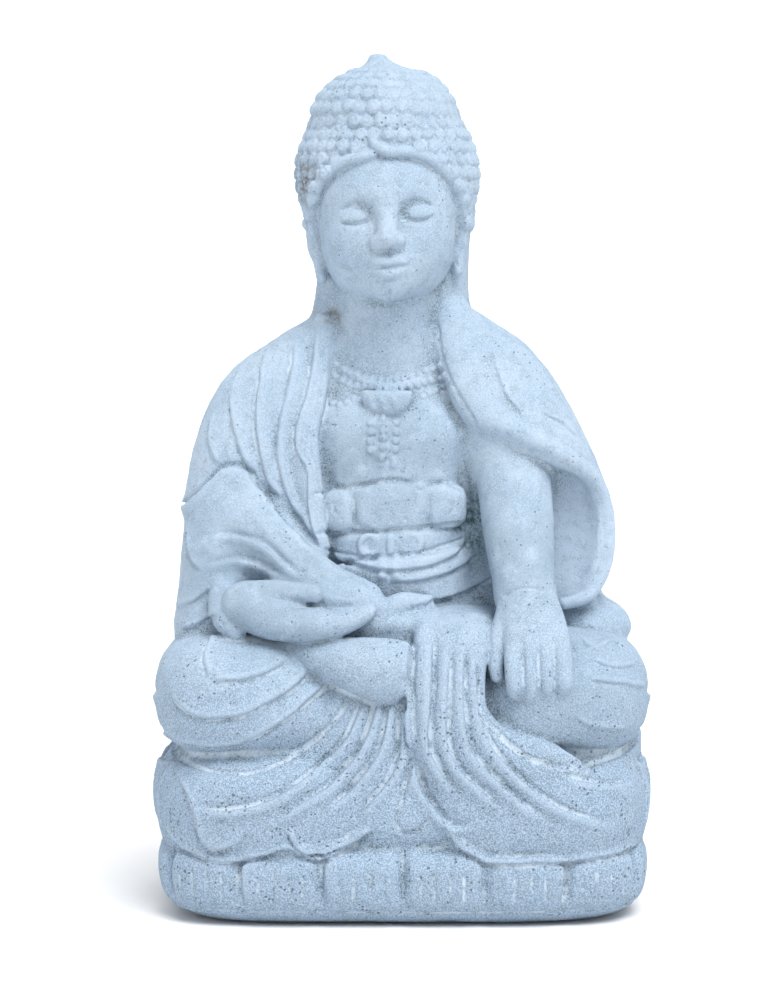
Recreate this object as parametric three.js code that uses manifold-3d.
// A seated Buddha garden statue of cast stone, in millimetres, +Z up, facing -Y, with its origin at the
// middle of its base. "Right" and "left" are the figure's own, so its right hand is on the -X side.
// The real statue is one casting around a steel bar. Here each sculpted form is a solid of its own, and the
// forms meet at the creases where the sculpture divides, with a hairline seam between them.
import * as THREE from "three";
import { LoftGeometry } from "three/addons/geometries/LoftGeometry.js";
import { mergeVertices } from "three/addons/utils/BufferGeometryUtils.js";
import Module from "manifold-3d";

const wasm = await Module();
wasm.setup();

// Driving dimensions.
const HEIGHT = 500;
const HALF_WIDTH = 145.5;
const HALF_DEPTH = 100;
const SEAM = 0.3; // between two forms that touch
const PLINTH_TOP = 46;
const PETALS = 18;
const PETAL_PROUD = 6; // how far a petal stands out of the plinth
const HEAD = new THREE.Vector3(-9, -2, 402); // middle of the skull, between the ears
const HEAD_TILT = THREE.MathUtils.degToRad(-3); // the crown leans to the figure's right
const BAR_RADIUS = 5;

// ---- Solids -------------------------------------------------------------------------------------------

// A closed three.js geometry as a manifold-3d solid.
function solid(geometry) {
  const bare = new THREE.BufferGeometry().setIndex(geometry.index);
  bare.setAttribute("position", geometry.getAttribute("position"));
  const merged = mergeVertices(bare, 1e-3);
  const kept = [];
  for (let i = 0; i < merged.index.count; i += 3) {
    const [a, b, c] = merged.index.array.subarray(i, i + 3);
    if (a !== b && b !== c && c !== a) kept.push(a, b, c);
  }
  return new wasm.Manifold(
    new wasm.Mesh({
      numProp: 3,
      vertProperties: merged.attributes.position.array,
      triVerts: new Uint32Array(kept),
    }),
  );
}

function geometryOf(body) {
  const { vertProperties, triVerts } = body.getMesh();
  const geometry = new THREE.BufferGeometry();
  geometry.setAttribute("position", new THREE.BufferAttribute(vertProperties, 3));
  geometry.setIndex(new THREE.BufferAttribute(triVerts, 1));
  const flat = geometry.toNonIndexed();
  flat.computeVertexNormals();
  return flat;
}

const largest = (body) => body.decompose().sort((a, b) => b.volume() - a.volume())[0];

// ---- Forms --------------------------------------------------------------------------------------------
// A form is a function of an allowance in millimetres that returns a solid grown by it all round, so that
// the same form can be a piece and can cut the room for itself, a seam wider, out of a neighbour.

// A point of a superellipse: exponent 2 is an ellipse, and higher ones are squarer.
function around(angle, halfWidth, halfDepth, exponent = 2) {
  const [x, y] = [Math.cos(angle), Math.sin(angle)];
  const reach = (Math.abs(x) ** exponent + Math.abs(y) ** exponent) ** (1 / exponent);
  return [(halfWidth * x) / reach, (halfDepth * y) / reach];
}

// An ellipsoid. Turn is a rotation about Y, in degrees, positive towards +Z at its -X end.
function ball(at, radii, { turn = 0, sides = 12, rows = 7 } = {}) {
  return (grow) => {
    const geometry = new THREE.SphereGeometry(1, sides, rows);
    geometry.rotateX(Math.PI / 2);
    geometry.scale(radii[0] + grow, radii[1] + grow, radii[2] + grow);
    geometry.rotateY(THREE.MathUtils.degToRad(turn));
    geometry.translate(...at);
    return solid(geometry);
  };
}

// A stack of level superellipses: each section is [z, middle x, middle y, half width, half depth].
function stack(sections, { exponent = 2, sides = 18, steps = 5 } = {}) {
  return (grow) => {
    const levels = smooth(sections, steps);
    levels[0][0] -= grow;
    levels.at(-1)[0] += grow;
    const rings = levels.map(([z, x, y, width, depth]) =>
      Array.from({ length: sides }, (_, i) => {
        const angle = (i / sides) * 2 * Math.PI;
        const [dx, dy] = around(angle, width + grow, depth + grow, exponent);
        return new THREE.Vector3(x + dx, y + dy, z);
      }),
    );
    return solid(new LoftGeometry(rings, { capStart: true, capEnd: true }));
  };
}

// A limb through stations [x, y, z, half width, half depth], with its width along "across". Its ends are
// domes, as high as their radius times "domed".
function limb(stations, { across = [1, 0, 0], sides = 8, steps = 4, domed = 1 } = {}) {
  return (grow) => {
    const rows = smooth(stations.map((row) => (row.length === 4 ? [...row, row[3]] : row)), steps);
    const path = rows.map((row) => new THREE.Vector3(...row));
    const tangents = path.map((_, i) =>
      path[Math.min(i + 1, path.length - 1)].clone().sub(path[Math.max(i - 1, 0)]).normalize(),
    );
    const ring = (i, along, share) => {
      const tangent = tangents[i];
      const side = new THREE.Vector3(...across).projectOnPlane(tangent).normalize();
      const front = tangent.clone().cross(side);
      return Array.from({ length: sides }, (_, k) => {
        const angle = (k / sides) * 2 * Math.PI;
        const [w, d] = around(angle, (rows[i][3] + grow) * share, (rows[i][4] + grow) * share);
        return path[i].clone().addScaledVector(tangent, along).addScaledVector(side, w).addScaledVector(front, d);
      });
    };
    const end = rows.length - 1;
    const cap = (i, sign) =>
      [0.95, 0.7].map((reach) => {
        const radius = Math.min(rows[i][3], rows[i][4]) + grow;
        return ring(i, sign * reach * radius * domed, Math.sqrt(1 - reach * reach));
      });
    const rings = [...cap(0, -1), ...path.map((_, i) => ring(i, 0, 1)), ...cap(end, 1).reverse()];
    return solid(new LoftGeometry(rings, { capStart: true, capEnd: true }));
  };
}

// Rows of numbers, each column run through a Catmull-Rom spline, sampled in even steps.
function smooth(rows, steps) {
  const columns = rows[0].length;
  const count = Math.max(steps, rows.length - 1);
  const at = (i, column) => rows[THREE.MathUtils.clamp(i, 0, rows.length - 1)][column];
  return Array.from({ length: count + 1 }, (_, k) => {
    const t = (k / count) * (rows.length - 1);
    const i = Math.min(Math.floor(t), rows.length - 2);
    const f = t - i;
    return Array.from({ length: columns }, (_, column) => {
      const [a, b, c, d] = [-1, 0, 1, 2].map((offset) => at(i + offset, column));
      return b + 0.5 * f * (c - a + f * (2 * a - 5 * b + 4 * c - d + f * (3 * (b - c) + d - a)));
    });
  });
}

const join = (...forms) => (grow) => wasm.Manifold.union(forms.map((form) => form(grow)));
const less = (form, ...cuts) => (grow) =>
  cuts.reduce((body, cut) => body.subtract(cut(-grow)), form(grow));

// The half space of one side of a plane, as a large box: everything further along the axis than "from".
function beyond(axis, from) {
  const size = 4 * HEIGHT;
  return (grow) => {
    const geometry = new THREE.BoxGeometry(size, size, size);
    const place = new THREE.Vector3().setComponent("xyz".indexOf(axis), from + size / 2 - grow);
    geometry.translate(...place);
    return solid(geometry);
  };
}

// A form of the head, drawn upright about the skull's middle and then tilted with it.
function tilted(form) {
  const toHead = new THREE.Matrix4()
    .makeTranslation(HEAD)
    .multiply(new THREE.Matrix4().makeRotationY(HEAD_TILT));
  return (grow) => form(grow).transform(toHead.elements);
}

// ---- Base ---------------------------------------------------------------------------------------------

const PLINTH_WIDTH = HALF_WIDTH - PETAL_PROUD - 2;
const PLINTH_DEPTH = HALF_DEPTH - PETAL_PROUD - 2;
const PLINTH_SQUARE = 5; // superellipse exponent of the plinth's plan

function plinth() {
  return stack(
    [
      [0, 0, 0, PLINTH_WIDTH - 7, PLINTH_DEPTH - 7],
      [5, 0, 0, PLINTH_WIDTH, PLINTH_DEPTH],
      [38, 0, 0, PLINTH_WIDTH - 1, PLINTH_DEPTH - 1],
      [PLINTH_TOP, 0, 0, PLINTH_WIDTH - 6, PLINTH_DEPTH - 6],
    ],
    { exponent: PLINTH_SQUARE, sides: 28, steps: 3 },
  );
}

// Points spaced evenly along the plinth's plan, each with the angle that its outward normal points along.
function petalPlaces() {
  const fine = 720;
  const plan = Array.from({ length: fine + 1 }, (_, i) => {
    const angle = (i / fine) * 2 * Math.PI - Math.PI / 2;
    return new THREE.Vector2(...around(angle, PLINTH_WIDTH, PLINTH_DEPTH, PLINTH_SQUARE));
  });
  const run = [0];
  for (let i = 1; i <= fine; i++) run.push(run[i - 1] + plan[i].distanceTo(plan[i - 1]));
  const pitch = run[fine] / PETALS;
  return Array.from({ length: PETALS }, (_, k) => {
    const i = run.findIndex((length) => length >= (k + 0.5) * pitch);
    const along = plan[i + 1].clone().sub(plan[i - 1]);
    return { at: plan[i], facing: Math.atan2(-along.x, along.y), pitch };
  });
}

function petal({ at, facing, pitch }) {
  const [low, high] = [4, PLINTH_TOP - 3];
  return (grow) => {
    const rings = [
      [low, 0.8, 0.6],
      [low + 6, 0.98, 1],
      [high - 8, 0.94, 0.9],
      [high, 0.6, 0.4],
    ];
    const sections = rings.map(([z, width, proud]) =>
      Array.from({ length: 8 }, (_, i) => {
        const angle = ((i + 0.5) / 8) * 2 * Math.PI;
        const [along, out] = around(angle, (width * pitch) / 2 - SEAM + grow, proud * PETAL_PROUD + grow, 3);
        return new THREE.Vector3(out, along, z).applyAxisAngle(new THREE.Vector3(0, 0, 1), facing);
      }).reverse(),
    );
    const body = solid(new LoftGeometry(sections, { capStart: true, capEnd: true }));
    return body.translate([at.x, at.y, 0]);
  };
}

// ---- Legs and lower robe ------------------------------------------------------------------------------

// One half of the lower robe, spread over the shin, from the hem up to the crease under the knee.
function skirt(side) {
  const half = HALF_WIDTH / 2;
  return stack(
    [
      [38, side * half, -1, half - 12, HALF_DEPTH - 14],
      [46, side * half, 0, half - 2.5, HALF_DEPTH - 4],
      [62, side * half, 0, half - 0.5, HALF_DEPTH - 0.5],
      [76, side * half, 0, half, HALF_DEPTH],
      [92, side * (half - 1), 0, half - 5, HALF_DEPTH - 7],
      [106, side * (half - 2), 0, half - 18, HALF_DEPTH - 24],
    ],
    { exponent: 2.7, sides: 20, steps: 5 },
  );
}

function lap() {
  return stack(
    [
      [44, 0, 0, 90, 76],
      [80, 0, -3, 92, 84],
      [110, 0, -4, 92, 80],
      [145, -2, -4, 90, 72],
      [165, -2, -2, 80, 62],
      [176, -2, 0, 62, 46],
    ],
    { exponent: 2.4, sides: 16, steps: 5 },
  );
}

function knee(side) {
  const middle = side > 0 ? 93 : -91.5;
  const top = side > 0 ? 41 : 38.5;
  return ball([middle, -28, 131], [side * middle > 92 ? 51 : 53, 69, top], { sides: 16, rows: 9 });
}

function upturnedFoot() {
  return limb(
    [
      [-64, -60, 167, 8],
      [-42, -73, 160, 12, 14],
      [-16, -81, 152, 12, 19],
      [4, -82, 148, 10, 19],
    ],
    { across: [0, 1, 0], steps: 3 },
  );
}

// The strip of robe that falls from the waist over the crossed shins and fans out at its foot.
function centreDrape() {
  return limb(
    [
      [16, -60, 172, 12, 7],
      [14, -78, 152, 15, 8],
      [15, -84, 122, 18, 9],
      [24, -87, 94, 25, 9],
      [40, -89, 70, 34, 9],
      [50, -88, 56, 36, 8],
    ],
    { steps: 5 },
  );
}

const leftRobeTail = () => ball([107, 18, 166], [27, 42, 17], { turn: 8 });

// ---- Torso, belt and jewellery ------------------------------------------------------------------------

const TORSO = [
  [150, -2, 5, 62, 44],
  [175, -2, 2, 58, 41],
  [200, -2, 1, 53, 37],
  [225, -2, 0, 53, 36],
  [255, -2, -2, 58, 38],
  [280, -3, 0, 60, 37],
  [305, -4, 4, 54, 33],
  [325, -6, 6, 42, 30],
  [336, -8, 7, 34, 27],
];
const torso = () => stack(TORSO, { exponent: 2.2, sides: 16, steps: 8 });
const neck = () => limb([[-9, 8, 318, 29], [-9, 4, 342, 29.5], [-9, 2, 368, 31]], { sides: 12, steps: 2 });

// A band of the torso between two heights that stands out of it: a belt or a sash.
function band(low, high, proud, lean = 0) {
  const middle = (low + high) / 2;
  const body = stack(
    [
      [low, -2, 0, 54, 37],
      [middle, -2, 0, 55, 38],
      [high, -2, 0, 56, 37],
    ].map(([z, x, y, width, depth]) => [z, x, y, width + proud, depth + proud]),
    { exponent: 2.2, sides: 16, steps: 2 },
  );
  return (grow) =>
    body(grow).translate([0, 0, -middle]).rotate([0, lean, 0]).translate([0, 0, middle]);
}

// The raised plaques of the upper belt: an arched one in the middle and a plainer one at each side.
const plaques = () =>
  join(
    ball([-6, -37, 236], [21, 8, 16], { sides: 10, rows: 6 }),
    limb([[-42, -29, 235, 8, 5], [-6, -37, 236, 9, 5], [36, -29, 236, 8, 5]], { across: [0, 0, 1], steps: 4 }),
  );
const buckle = () => ball([-5, -38, 215], [17, 7, 7], { sides: 10, rows: 6 });
const sashKnot = () =>
  join(
    ball([-6, -46, 185], [9, 8, 8], { sides: 10, rows: 6 }),
    limb([[-8, -48, 182, 5], [-13, -54, 172, 6], [-16, -58, 166, 5]], { steps: 2 }),
  );

const necklace = () =>
  limb(
    [
      [-42, -22, 316, 2.6],
      [-28, -29, 306, 2.6],
      [-9, -34, 300, 2.6],
      [10, -31, 304, 2.6],
      [24, -23, 314, 2.6],
    ],
    { across: [0, 1, 0], sides: 6, steps: 6 },
  );
const pendant = () => ball([-10, -35, 294], [11, 6, 8], { sides: 10, rows: 6 });
const pendantBeads = () =>
  limb([[-10, -38, 283, 9, 3], [-10, -40, 272, 8, 3], [-10, -41, 262, 6, 3]], { steps: 2 });

// ---- Outer robe ---------------------------------------------------------------------------------------

function backRobe() {
  return stack(
    [
      [100, 0, HALF_DEPTH - 58, 108, 56],
      [130, 0, HALF_DEPTH - 62, 122, 61],
      [165, -1, HALF_DEPTH - 64, 127, 61],
      [195, -3, HALF_DEPTH - 66, 121, 58],
      [228, -2, HALF_DEPTH - 68, 116, 55],
      [263, -3, HALF_DEPTH - 71, 111, 51],
      [286, -4, HALF_DEPTH - 73, 103, 48],
      [303, -4, HALF_DEPTH - 75, 92, 45],
      [319, -3, HALF_DEPTH - 76, 78, 41],
      [333, -4, HALF_DEPTH - 78, 62, 36],
      [345, -6, HALF_DEPTH - 80, 46, 31],
    ],
    { exponent: 2.2, sides: 18, steps: 8 },
  );
}

const rightShoulder = () =>
  limb(
    [
      [-48, 10, 326, 22],
      [-64, 8, 311, 31],
      [-80, 5, 287, 34],
      [-91, 0, 260, 34],
      [-96, -5, 236, 31],
    ],
    { sides: 10, steps: 4 },
  );

const rightLapel = () =>
  limb(
    [
      [-44, -12, 338, 5, 5],
      [-47, -24, 306, 6, 5],
      [-53, -31, 277, 6, 6],
      [-51, -33, 245, 6, 6],
      [-46, -36, 214, 6, 6],
    ],
    { steps: 4 },
  );

// The sleeve hangs from the elbow, and its front edge is drawn across the waist towards the lap.
const rightSleeve = () =>
  join(
    limb([[-100, -8, 236, 27], [-104, -20, 210, 29], [-106, -26, 184, 27], [-104, -30, 172, 24]], {
      sides: 10,
      steps: 2,
    }),
    limb([[-92, -22, 232, 22], [-72, -34, 210, 21], [-44, -44, 190, 15], [-18, -48, 180, 8]], {
      across: [0, 1, 0],
      steps: 3,
    }),
  );

const cape = () =>
  less(
    limb(
      [
        [44, 10, 328, 22],
        [60, 8, 312, 31],
        [76, 5, 289, 36],
        [87, 2, 260, 37],
        [90, -1, 228, 35],
        [89, -3, 198, 31],
      ],
      { sides: 12, steps: 5 },
    ),
    ball([82, -36, 214], [33, 33, 50]),
  );

const capeRim = () =>
  limb(
    [
      [40, -24, 300, 7],
      [58, -33, 287, 7.5],
      [80, -36, 275, 7.5],
      [101, -33, 259, 7],
      [115, -26, 234, 6],
      [118, -21, 208, 5.5],
      [113, -22, 186, 5],
    ],
    { across: [0, 1, 0], sides: 6, steps: 6 },
  );

// The turned edge of the robe beside the neck, from the nape down the front of the left shoulder.
const leftLapel = () =>
  limb(
    [
      [26, -6, 344, 8],
      [24, -18, 330, 8],
      [28, -27, 312, 8],
      [38, -32, 296, 8],
    ],
    { sides: 6, steps: 3 },
  );

// ---- Arms and hands -----------------------------------------------------------------------------------

const leftArm = () =>
  limb([[68, -8, 282, 23], [66, -24, 260, 22], [67, -42, 226, 21], [70, -57, 193, 17.5]], {
    sides: 10,
    steps: 3,
  });
const leftWristBand = () =>
  limb([[69.8, -56, 194, 19], [70.6, -60, 188, 19]], { sides: 10, steps: 1, domed: 0.1 });

function finger(from, to, radius) {
  return limb([[...from, radius], [...to, radius * 0.85]], { sides: 6, steps: 1 });
}

function leftHand() {
  const knuckles = [-1.5, -0.5, 0.5, 1.5];
  return join(
    limb([[71, -62, 186, 17, 15], [74, -76, 168, 20, 13], [76, -84, 156, 19, 10]], { steps: 2 }),
    ...knuckles.map((k) => finger([76 + 9 * k, -86, 158], [77 + 8 * k, -93, 134 + Math.abs(k)], 5.4)),
    finger([59, -74, 176], [54, -84, 146], 5.5),
  );
}

const rightCuff = () => ball([-101, -56, 183], [9, 15, 16], { sides: 10 });

function rightHand() {
  return join(
    limb([[-98, -60, 182, 12, 12], [-80, -70, 178, 14, 13], [-60, -75, 174, 13, 11]], {
      across: [0, 0, 1],
      steps: 2,
    }),
    finger([-60, -80, 168], [-24, -80, 172], 5),
    finger([-60, -76, 176], [-20, -76, 178], 5),
    finger([-88, -66, 188], [-50, -72, 193], 6),
  );
}

// ---- Head ---------------------------------------------------------------------------------------------
// Drawn upright about the skull's middle, and then tilted.

const skull = () =>
  tilted(
    join(
      ball([0, 0, 0], [43, 50, 48], { sides: 16, rows: 10 }),
      ball([0, -14, -26], [33, 33, 24]),
      limb([[0, -46, 10, 4], [0, -50, -6, 6]], { steps: 1 }),
    ),
  );

const hairCap = ball([0, 5, 20], [54, 56, 46], { sides: 18, rows: 10 });
const faceOpening = ball([0, -46, -8], [47, 46, 44], { sides: 16, rows: 10 });
const hair = () => tilted(less(hairCap, faceOpening));

// The rolled edge of the hair: a rim round the face opening that stands a little out of the cap.
const HAIRLINE_WIDTH = 7;
const hairline = () =>
  tilted((grow) =>
    hairCap(grow + 2)
      .intersect(faceOpening(grow + HAIRLINE_WIDTH))
      .subtract(faceOpening(-grow)),
  );
const crown = () => tilted(ball([2, 8, 60], [41, 43, 29], { sides: 16 }));

function crownKnob() {
  const profile = [
    [0, 482],
    [15, 484],
    [12, 491],
    [7, 496.5],
    [4, HEIGHT],
    [0, HEIGHT],
  ].map(([radius, z]) => new THREE.Vector2(radius, z));
  return (grow) => {
    const geometry = new THREE.LatheGeometry(profile, 10);
    geometry.rotateX(Math.PI / 2);
    geometry.scale(1 + grow / 15, 1 + grow / 15, 1);
    geometry.translate(HEAD.x - 5, HEAD.y + 8, 0);
    return solid(geometry);
  };
}

const ear = (side) =>
  tilted(
    join(
      ball([side * 48, 0, -9], [6, 10, 17], { sides: 8, rows: 6 }),
      limb([[side * 47.5, -1, -18, 5, 7], [side * 46, -2, -36, 4, 6]], { sides: 6, steps: 1 }),
    ),
  );

// The veil of the robe behind the head, which joins the head to the shoulders.
const veil = () =>
  stack(
    [
      [330, -7, 20, 50, 28],
      [345, -7, 19, 46, 28],
      [370, -7, 19, 44, 29],
      [395, -8, 20, 44, 31],
      [412, -8, 21, 42, 30],
    ],
    { sides: 14, steps: 4 },
  );

const bar = () => limb([[-6, 12, 20, BAR_RADIUS], [-9, 8, 400, BAR_RADIUS]], { steps: 1, domed: 0.1 });

// ---- Assembly -----------------------------------------------------------------------------------------

const STONE = 0xbcd2e6;
const steel = new THREE.MeshStandardMaterial({ color: 0x6f6a66, roughness: 0.6, metalness: 0.9 });

// From the inside out: each piece is cut by every piece above it in this list, a seam wider.
const pieces = [
  ["reinforcing_bar", bar()],
  ["plinth", plinth()],
  ["torso", torso()],
  ["neck", neck()],
  ["skull_and_face", skull()],
  ["crown_knob", crownKnob()],
  ["ear_right", ear(-1)],
  ["ear_left", ear(1)],
  ["hairline_band", hairline()],
  ["hair_cap", hair()],
  ["crown_mound", crown()],
  ["pendant", pendant()],
  ["necklace", necklace()],
  ["pendant_beads", pendantBeads()],
  ["belt_plaques", plaques()],
  ["belt_upper", band(221, 249, 3)],
  ["belt_buckle", buckle()],
  ["belt_lower", band(206, 220.5, 2.5)],
  ["sash_knot", sashKnot()],
  ["sash", band(178, 205.5, 4, 4)],
  ["left_wrist_band", leftWristBand()],
  ["left_hand", leftHand()],
  ["left_forearm", leftArm()],
  ["right_hand", rightHand()],
  ["right_cuff", rightCuff()],
  ["left_lapel", leftLapel()],
  ["cape_rim", capeRim()],
  ["left_cape", cape()],
  ["right_lapel", rightLapel()],
  ["right_sleeve", rightSleeve()],
  ["right_shoulder_robe", rightShoulder()],
  ["veil", veil()],
  ["back_robe", backRobe()],
  ["upturned_foot", upturnedFoot()],
  ["centre_drape", centreDrape()],
  ["right_knee", knee(-1)],
  ["left_knee", knee(1)],
  ["left_robe_tail", leftRobeTail()],
  ["lap_robe", lap()],
  ["right_skirt", less(skirt(-1), beyond("x", -SEAM / 2))],
  ["left_skirt", skirt(1)],
  ...petalPlaces().map((place, i) => [`lotus_petal_${String(i + 1).padStart(2, "0")}`, petal(place)]),
];

const statue = new THREE.Group();
statue.name = "buddha_statue";
const cutters = [];
for (const [name, form] of pieces) {
  let body = form(0);
  const box = body.boundingBox();
  for (const cutter of cutters) {
    const meets = [0, 1, 2].every((i) => cutter.box.min[i] < box.max[i] && cutter.box.max[i] > box.min[i]);
    if (meets) body = body.subtract(cutter.body);
  }
  const grown = form(SEAM);
  cutters.push({ body: grown, box: grown.boundingBox() });
  const stone = new THREE.MeshStandardMaterial({ color: STONE, roughness: 0.95, metalness: 0 });
  const mesh = new THREE.Mesh(geometryOf(largest(body)), name === "reinforcing_bar" ? steel : stone);
  mesh.name = name;
  statue.add(mesh);
}

export default statue;
